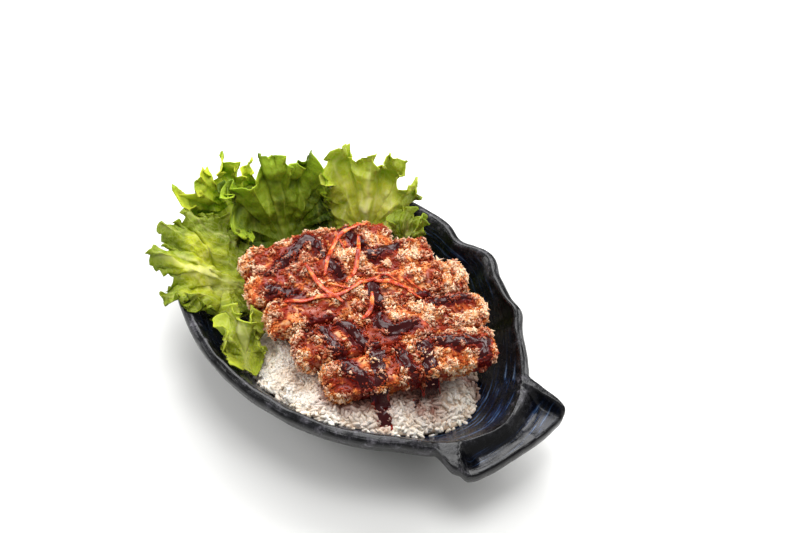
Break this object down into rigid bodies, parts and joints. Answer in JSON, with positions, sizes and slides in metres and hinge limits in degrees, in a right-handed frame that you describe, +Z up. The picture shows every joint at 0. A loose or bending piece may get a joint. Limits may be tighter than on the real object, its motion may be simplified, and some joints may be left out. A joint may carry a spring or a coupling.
{
  "type": "katsudon in a leaf shaped dish",
  "caption": "Sliced breaded cutlet with dark sauce and carrot shreds on rice, with frilled leaf lettuce, in a leaf shaped stoneware dish with a flat tail handle.",
  "frame": {"origin": "middle of the dish's flat foot, on the surface it stands on", "axes": "+Z up, +X along the dish's length towards its tail-shaped handle, -Y towards the side where the rice shows"},
  "size_m": [0.2634, 0.1757, 0.0924],
  "materials": {
    "glazed_stoneware": "glossy near-black glaze on hand-formed stoneware",
    "cooked_rice": "moist cooked short-grain rice",
    "fried_breadcrumb": "coarse golden breadcrumb crust with dark glossy sauce",
    "green_leaf": "thin, slightly waxy leaf",
    "carrot": "moist orange carrot"
  },
  "bodies": {
    "root": {"dish": "glazed_stoneware", "rice": "cooked_rice", "cutlet_slice_1": "fried_breadcrumb", "cutlet_slice_2": "fried_breadcrumb", "cutlet_slice_3": "fried_breadcrumb", "cutlet_slice_4": "fried_breadcrumb", "cutlet_slice_5": "fried_breadcrumb", "lettuce_left": "green_leaf", "lettuce_head": "green_leaf", "lettuce_back": "green_leaf", "lettuce_far": "green_leaf", "lettuce_tip": "green_leaf", "lettuce_near": "green_leaf", "carrot_shred_1": "carrot", "carrot_shred_2": "carrot", "carrot_shred_3": "carrot", "carrot_shred_4": "carrot", "carrot_shred_5": "carrot", "carrot_shred_6": "carrot"}
  },
  "joints": []
}
